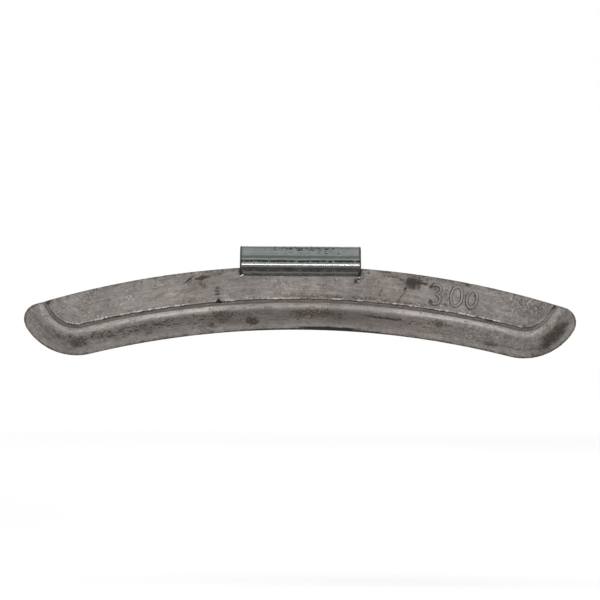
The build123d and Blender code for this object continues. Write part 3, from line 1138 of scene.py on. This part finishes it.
def bare_plate(paint, finish):
    """Colour of the clean plate: streaked, worn at the nose and made pale at the root as painted light."""
    tone = 0.4 + (paint.streaks - 0.5) * 1.1 + (paint.fine - 0.5) * 0.7 + (paint.cloud - 0.5) * 0.5
    plate = paint.mix(finish.steel, finish.steel_pale, paint.rise(tone, 0.2, 1.0))
    plate = paint.mix(plate, finish.steel_worn, paint.rise(paint.z, 1.1, 0.4) * 0.8)
    # Painted light: pale colour low under the nose, where the clip is in shade.
    return paint.mix(plate, finish.steel_pale, paint.rise(paint.z, -1.3, -1.6) * 0.9)


def dark_reflections_and_shade(paint):
    """Painted dark reflections in lines over the nose's bend, and painted shade under the nose."""
    height = paint.z + (paint.drawn(0.5, 0.0, 3.0, 0.6, seed=12.0) - 0.5) * 0.3
    # Painted dark reflections in two lines across the bend.
    upper = paint.band(height, 1.42, 1.76, 2.0, 2.36) * paint.rise(paint.streaks, 0.25, 0.5)
    breaks = paint.drawn(1.7, 0.6, 3.0, 0.7, seed=15.0)
    lower = paint.band(height + (breaks - 0.5) * 0.35, 0.66, 0.88, 1.12, 1.38)
    lower = lower * paint.rise(breaks, 0.3, 0.5)
    # Painted shade on the underside of the nose.
    under_nose_shade = paint.band(height, -1.4, -1.1, -0.45, 0.05) * (0.56 + paint.cloud * 0.5)
    return paint.most(upper * 0.6, lower, under_nose_shade) * paint.facing


def plate_pits(paint):
    """Pits and flecks in the plate, most of them in the middle of the sloped front."""
    middle = paint.rise(abs(paint.x - 1.5), 13.0, 3.0) * paint.rise(paint.y, 6.5, 1.0)
    middle = middle * (0.3 + paint.cloud * 1.4)
    pits = paint.drawn(1.0, 2.0, 3.0, 0.6, seed=17.0, scale=1.5)
    pits = pits + middle * paint.rise(paint.z, 1.6, 3.8) * 0.12
    flecks = paint.noise(paint.place, 2.7, 2.0, 0.6, seed=25.0)
    flecks = flecks + middle * paint.rise(paint.z, 2.0, 4.1) * 0.14
    return paint.most(paint.rise(pits, 0.64, 0.72), paint.rise(flecks, 0.69, 0.74))


def root_grime(paint, edges):
    """Brown grime in patches under the nose, clear of the strip's edges."""
    settled = paint.drawn(0.55, 1.3, 4.0, 0.68, seed=29.0, scale=1.3)
    grime = paint.rise(settled, 0.42, 0.68) * paint.rise(paint.z, -0.55, -1.05) * paint.facing * 0.6
    return grime * (1.0 - edges)


def steel_paint(finish, size):
    """Zinc-plated spring steel: streaked plate with painted dark reflections in lines over the bend, pits,
    painted dark reflections on its edges, painted shade under the nose and grime at the root.
    """
    paint = SteelPaint(STEEL)
    pitted = plate_pits(paint)
    half_width = size.width / 2 * PER_MM
    # Painted dark reflections on the strip's rounded edges, wider low down.
    low = paint.rise(paint.z, -0.4, -1.3)
    edges = abs(paint.x) + (paint.cloud - 0.5) * 0.4 + low * 0.3
    edges = paint.rise(edges, half_width - 0.6, half_width - 0.2)
    dark = paint.least(paint.most(dark_reflections_and_shade(paint), pitted * 0.95, edges * 0.8), 1.0)
    grime = root_grime(paint, edges)
    skin = paint.mix(bare_plate(paint, finish), finish.steel_dark, dark)
    relief = paint.fine * 0.6 + paint.streaks * 0.4 - pitted * 0.8
    return paint.finish(
        base_color=paint.mix(skin, finish.steel_grime, grime),
        metallic=1.0 - grime * 0.85,
        roughness=0.172 + (paint.fine - 0.5) * 0.08 + dark * 0.28 + grime * 0.3,
        normal=paint.bump(relief, 0.005 * MM, 0.3),
    )


class WEIGHT_OT_clip(bpy.types.Operator):
    """Spring clip: strip cast into the lead by its tongue and bent over the lip's slot into a hook"""

    bl_idname = "weight.clip"
    bl_label = "Spring Clip"

    def execute(self, context):
        size = settings().clip
        corners, radii = bend_line(size)
        line = new_curve("clip_line", [corners])
        for entry, radius in zip(line.data.splines[0].points, radii):
            entry.radius = radius
        section = new_curve("clip_section", [strip_section(size)], cyclic=True)
        tree, strip = bent_strip()
        tree.finish(strip, steel_paint(settings().finish, size))
        values = {
            "Section": section,
            "Hook Corner": size.hook_corner,
            "Half Width": size.width / 2,
            "Dents": size.dents,
            "Key Radius": size.key_diameter / 2,
            "Key Reach": size.key_pitch / 2,
            "Key Y": size.tongue_cover + size.thickness / 2,
            "Key Z": (corners[0][2] + corners[1][2]) / 2,
        }
        mesh = tree.mesh(line, values)
        bpy.data.objects.remove(section)
        smooth(mesh, degrees=40.0)
        dress(new_object("spring_strip", mesh), "spring_clip")
        return {"FINISHED"}


# Raised numerals

def numeral_zero(half_width, half_height):
    """Points of a nought."""
    turns = np.linspace(0.0, 2 * math.pi, 40, endpoint=False)
    return [(half_width * math.sin(turn), half_height * math.cos(turn), 0.0) for turn in turns]


def numeral_three(half_width, half_height):
    """Points of a three: an upper and a lower bowl that meet at the waist."""
    # Each bowl's width, middle and half height as shares, and its first and last turn
    bowls = ((0.86, 0.53, 0.47, 150.0, -80.0), (1.0, -0.5, 0.5, 80.0, -150.0))
    points = []
    for wide, middle, reach, start, end in bowls:
        for turn in np.radians(np.linspace(start, end, 16)):
            x = half_width * wide * math.cos(turn)
            y = half_height * (middle + reach * math.sin(turn))
            points.append((x, y, 0.0))
    return points


def on_land(tree, geometry):
    """Marks small geometry as lying on the open land, so that it takes the land's finish."""
    for name, value in {"front": 1.0, "inset": 9.0, "rim": 4.0}.items():
        geometry = tree.stored(geometry, name, value)
    return geometry


def raised_stroke():
    """Tree that lays a raised stroke with sloped sides along a flat curve."""
    tree = GeometryGraph("raised_stroke", ("Foot", "Top", "Rise", "Sink"))
    rise = tree.given("Rise")
    inputs = {
        "Height": rise,
        "Bottom Width": tree.given("Top"),
        "Top Width": tree.given("Foot"),
        "Offset": 0.0,
    }
    section = tree.node("GeometryNodeCurvePrimitiveQuadrilateral", {"mode": "TRAPEZOID"}, inputs)
    stroke = tree.swept(tree.given("Geometry"), section)
    height = tree.parts(tree.position())[2]
    # The foot and the left-facing slopes are stored for the painted shade that the lead's paint puts on the
    # numerals.
    stroke = tree.stored(stroke, "foot", tree.rise(height / rise, 0.45, 0.1))
    to_right = tree.parts(tree.normal())[0]
    stroke = tree.stored(stroke, "shade", tree.rise(to_right, 0.35, -0.35))
    stroke = tree.moved(stroke, tree.joined(0.0, 0.0, rise / 2 - tree.given("Sink")))
    return tree, on_land(tree, stroke)


class WEIGHT_OT_numerals(bpy.types.Operator):
    """Raised numerals of the nominal mass, cast with the land"""

    bl_idname = "weight.numerals"
    bl_label = "Raised Numerals"

    def execute(self, context):
        sizes = settings()
        marks = sizes.marks
        half_width = marks.numeral_width / 2
        half_height = marks.numeral_height / 2
        smaller = 0.9  # the last nought beside the first
        half_point = 0.15 * MM
        # Each sign's line, whether it closes, its turn about the wheel's axis and its drop below the top edge
        signs = (
            (numeral_three(half_width, half_height), False, 8.8, 3.55),
            ([(0.0, -half_point, 0.0), (0.0, half_point, 0.0)], False, 9.55, 5.3),
            (numeral_zero(half_width, half_height), True, 10.17, 3.25),
            (numeral_zero(smaller * half_width, smaller * half_height), True, 11.18, 3.2),
        )
        values = {
            "Foot": marks.stroke_foot,
            "Top": marks.stroke_top,
            "Rise": marks.stroke_rise,
            "Sink": marks.stroke_sink,
        }
        material = bpy.data.materials[LEAD]
        tree, stroke = raised_stroke()
        tree.finish(stroke, material)
        upright = Matrix.Rotation(math.radians(90.0), 4, "X")
        whole = bmesh.new()
        for points, closed, turn, drop in signs:
            mesh = tree.mesh(new_curve("numeral_line", [points], closed), values)
            radius = sizes.casting.top_radius - drop * MM
            lean = math.radians(turn)
            centre = (radius * math.sin(lean), 0.0, radius * math.cos(lean) - sizes.casting.top_radius)
            mesh.transform(Matrix.Translation(centre) @ Matrix.Rotation(lean, 4, "Y") @ upright)
            whole.from_mesh(mesh)
        made = bpy.data.meshes.new("mass_numerals")
        bmesh.ops.recalc_face_normals(whole, faces=whole.faces)
        whole.to_mesh(made)
        whole.free()
        made.materials.append(material)
        dress(new_object("mass_numerals", made))
        return {"FINISHED"}


# Dross

def random_vector(tree, low, high, seed):
    """A vector for each point, drawn between two others."""
    inputs = {0: low, 1: high, "Seed": seed}
    return tree.node("FunctionNodeRandomValue", {"data_type": "FLOAT_VECTOR"}, inputs)


def dross_line():
    """Tree that scatters lumps of fresh lead along a line, thinned out in stretches."""
    tree = GeometryGraph("dross_line", ("Spacing", "Largest", "Thinning", "Wander"), counts=("Roundness",))
    whole_turn = 6.28
    inputs = {"Curve": tree.given("Geometry"), "Length": tree.given("Spacing")}
    points = tree.node("GeometryNodeCurveToPoints", {"mode": "LENGTH"}, inputs)
    clumps = tree.noise(tree.scaled(tree.position(), PER_MM), 0.22, 2.0, 0.6, seed=6.0)
    sparse = tree.math("LESS_THAN", clumps, tree.given("Thinning"))
    kept = tree.node("GeometryNodeDeleteGeometry", None, {"Geometry": points, "Selection": sparse})
    wander = random_vector(tree, (-1.0, -0.4, -1.0), (1.0, 0.1, 1.0), 3)
    spread = tree.moved(kept, tree.scaled(wander, tree.given("Wander")))
    inputs = {"Radius": tree.given("Largest"), "Subdivisions": tree.given("Roundness")}
    lump = tree.stored(tree.node("GeometryNodeMeshIcoSphere", None, inputs), "fresh", 1.0)
    turn = random_vector(tree, (0.0, 0.0, 0.0), (whole_turn, whole_turn, whole_turn), 5)
    scale = random_vector(tree, (0.5, 0.45, 0.45), (1.0, 0.8, 0.8), 8)
    inputs = {"Points": spread, "Instance": on_land(tree, lump), "Rotation": turn, "Scale": scale}
    return tree, tree.node("GeometryNodeInstanceOnPoints", None, inputs)


class WEIGHT_OT_dross(bpy.types.Operator):
    """Crumbs of lead along the land's edge and blobs where the clip leaves it"""

    bl_idname = "weight.dross"
    bl_label = "Dross"

    def execute(self, context):
        sizes = settings()
        marks = sizes.marks
        casting = sizes.casting
        edge_share = 0.97
        edge_points = 300
        inside_land = 0.1 * MM
        crumb_front = -0.02 * MM
        blob_front = -0.2 * MM
        land_edge = casting.bead_width + casting.groove_width + inside_land
        edge = Outline(casting).row(land_edge, np.linspace(-edge_share, edge_share, edge_points))[0]
        edge_line = [(x, crumb_front, z) for x, z in edge]
        side = sizes.clip.width / 2
        left_foot = [(-side + 0.3 * MM, blob_front, -2.1 * MM), (-side + 0.75 * MM, blob_front, -1.95 * MM)]
        right_foot = [(side - 0.4 * MM, blob_front, -2.4 * MM), (side - 0.45 * MM, blob_front, -3.15 * MM)]
        # Each piece's lines, largest lump, spacing, thinning and roundness
        lumps = {
            "edge_crumbs": ([edge_line], marks.crumb, marks.crumb_spacing, 0.47, 1),
            "clip_blobs": ([left_foot, right_foot], marks.blob, marks.blob_spacing, 0.0, 3),
        }
        tree, dross = dross_line()
        tree.finish(dross, bpy.data.materials[LEAD])
        for name, (lines, largest, spacing, thinning, roundness) in lumps.items():
            values = {
                "Spacing": spacing,
                "Largest": largest,
                "Thinning": thinning,
                "Wander": marks.wander,
                "Roundness": roundness,
            }
            mesh = tree.mesh(new_curve(name, lines), values)
            smooth(mesh, degrees=60.0)
            dress(new_object(name, mesh))
        return {"FINISHED"}


# Stage

# Each lamp's place, width and height in metres, and the setting that holds its power
LAMPS = {
    "key_lamp": ((-0.08, -0.68, 0.308), 0.55, 0.055, "key_power"),
    "top_lamp": ((0.0, -0.23, 0.72), 1.6, 1.0, "top_power"),
    "back_lamp": ((0.15, 0.7, 0.4), 0.6, 0.4, "back_power"),
}


def area_lamp(name, place, width, height, watts):
    """A rectangular lamp that points at the part."""
    data = bpy.data.lights.new(name, "AREA")
    data.shape = "RECTANGLE"
    data.size = width
    data.size_y = height
    data.energy = watts
    lamp = new_object(name, data)
    lamp.location = place
    lamp.rotation_euler = (-Vector(place)).to_track_quat("-Z", "Y").to_euler()


def grey(value):
    return (value, value, value, 1.0)


def seen_directly(graph):
    """1 for rays from the camera, from gloss and through glass, and 0 for the rest."""
    path = graph.tree.nodes.new("ShaderNodeLightPath")
    names = ("Is Camera Ray", "Is Glossy Ray", "Is Transmission Ray")
    return graph.most(*(Socket(graph, path.outputs[name]) for name in names))


def make_world(ambient):
    """Even light from all round, white where it is seen directly."""
    world = bpy.data.worlds.new("studio")
    world.use_nodes = True
    graph = Graph(world.node_tree)
    world.node_tree.nodes.clear()
    soft = graph.node("ShaderNodeBackground", None, {"Color": grey(1.0), "Strength": ambient})
    white = graph.node("ShaderNodeBackground", None, {"Color": grey(1.0), "Strength": 1.0})
    mixed = graph.node("ShaderNodeMixShader", None, {0: seen_directly(graph), 1: soft, 2: white})
    end = world.node_tree.nodes.new("ShaderNodeOutputWorld")
    world.node_tree.links.new(mixed.out, end.inputs["Surface"])
    bpy.context.scene.world = world


def floor_paint():
    """Pale floor, just white where it is lit so that it keeps a grey shadow, with more glow far off."""
    paint = Paint("pale_floor")
    tree = paint.tree
    near_part = 350.0
    far_off = 1350.0
    near_glow = grey(0.37)
    far_glow = grey(0.7)
    fill = paint.mix(near_glow, far_glow, paint.rise(paint.size(paint.place), near_part, far_off))
    plain = paint.node("ShaderNodeBsdfDiffuse", None, {"Color": grey(0.5)})
    shaded = paint.node("ShaderNodeBsdfDiffuse", None, {"Color": grey(0.7)})
    glow = paint.node("ShaderNodeEmission", None, {"Color": fill, "Strength": 1.0})
    lit = paint.node("ShaderNodeAddShader", None, {0: shaded, 1: glow})
    mixed = paint.node("ShaderNodeMixShader", None, {0: seen_directly(paint), 1: plain, 2: lit})
    tree.links.new(mixed.out, tree.nodes["Material Output"].inputs["Surface"])
    tree.nodes.remove(paint.shader)
    return paint.material


class WEIGHT_OT_stage(bpy.types.Operator):
    """Floor, lamps, world and camera"""

    bl_idname = "weight.stage"
    bl_label = "Stage"

    def execute(self, context):
        size = settings().stage
        half = size.floor_size / 2
        corners = [(-half, -half), (half, -half), (half, half), (-half, half)]
        mesh = bpy.data.meshes.new("studio_floor")
        mesh.from_pydata([(x, y, -size.floor_drop) for x, y in corners], [], [(0, 1, 2, 3)])
        mesh.materials.append(floor_paint())
        new_object("studio_floor", mesh)
        for name, (place, width, height, power) in LAMPS.items():
            area_lamp(name, place, width, height, getattr(size, power))
        make_world(size.ambient)
        data = bpy.data.cameras.new("camera")
        data.sensor_width = 36.0
        data.lens = data.sensor_width * size.camera_distance / size.frame_width
        data.clip_start = 0.01
        camera = new_object("camera", data)
        level_view = Matrix.Rotation(math.radians(90.0), 4, "X") @ Matrix.Rotation(size.roll, 4, "Z")
        camera.matrix_world = Matrix.Translation((size.aim_x, -size.camera_distance, size.aim_z)) @ level_view
        scene = context.scene
        scene.camera = camera
        scene.view_settings.view_transform = "Standard"
        return {"FINISHED"}


# Add-on

class WEIGHT_PT_panel(bpy.types.Panel):
    """Lists the pieces of the weight and their sizes"""

    bl_label = "Balance Weight"
    bl_idname = "WEIGHT_PT_panel"
    bl_space_type = "VIEW_3D"
    bl_region_type = "UI"
    bl_category = "Balance Weight"

    def draw(self, context):
        for operator in OPERATORS:
            self.layout.operator(operator.bl_idname)
        for part in WeightSettings.__annotations__:
            group = getattr(settings(), part)
            box = self.layout.box()
            for name in group.__annotations__:
                box.prop(group, name)


OPERATORS = (WEIGHT_OT_casting, WEIGHT_OT_clip, WEIGHT_OT_numerals, WEIGHT_OT_dross, WEIGHT_OT_stage)
GROUPS = (CastingSizes, ClipSizes, MarkSizes, Finishes, StageSizes, WeightSettings)
CLASSES = GROUPS + OPERATORS + (WEIGHT_PT_panel,)


def register():
    for item in CLASSES:
        bpy.utils.register_class(item)
    bpy.types.Scene.balance_weight = PointerProperty(type=WeightSettings)


def unregister():
    del bpy.types.Scene.balance_weight
    for item in reversed(CLASSES):
        bpy.utils.unregister_class(item)


def main():
    register()
    bpy.ops.weight.casting()
    bpy.ops.weight.clip()
    bpy.ops.weight.numerals()
    bpy.ops.weight.dross()
    bpy.ops.weight.stage()


if __name__ == "__main__":
    main()
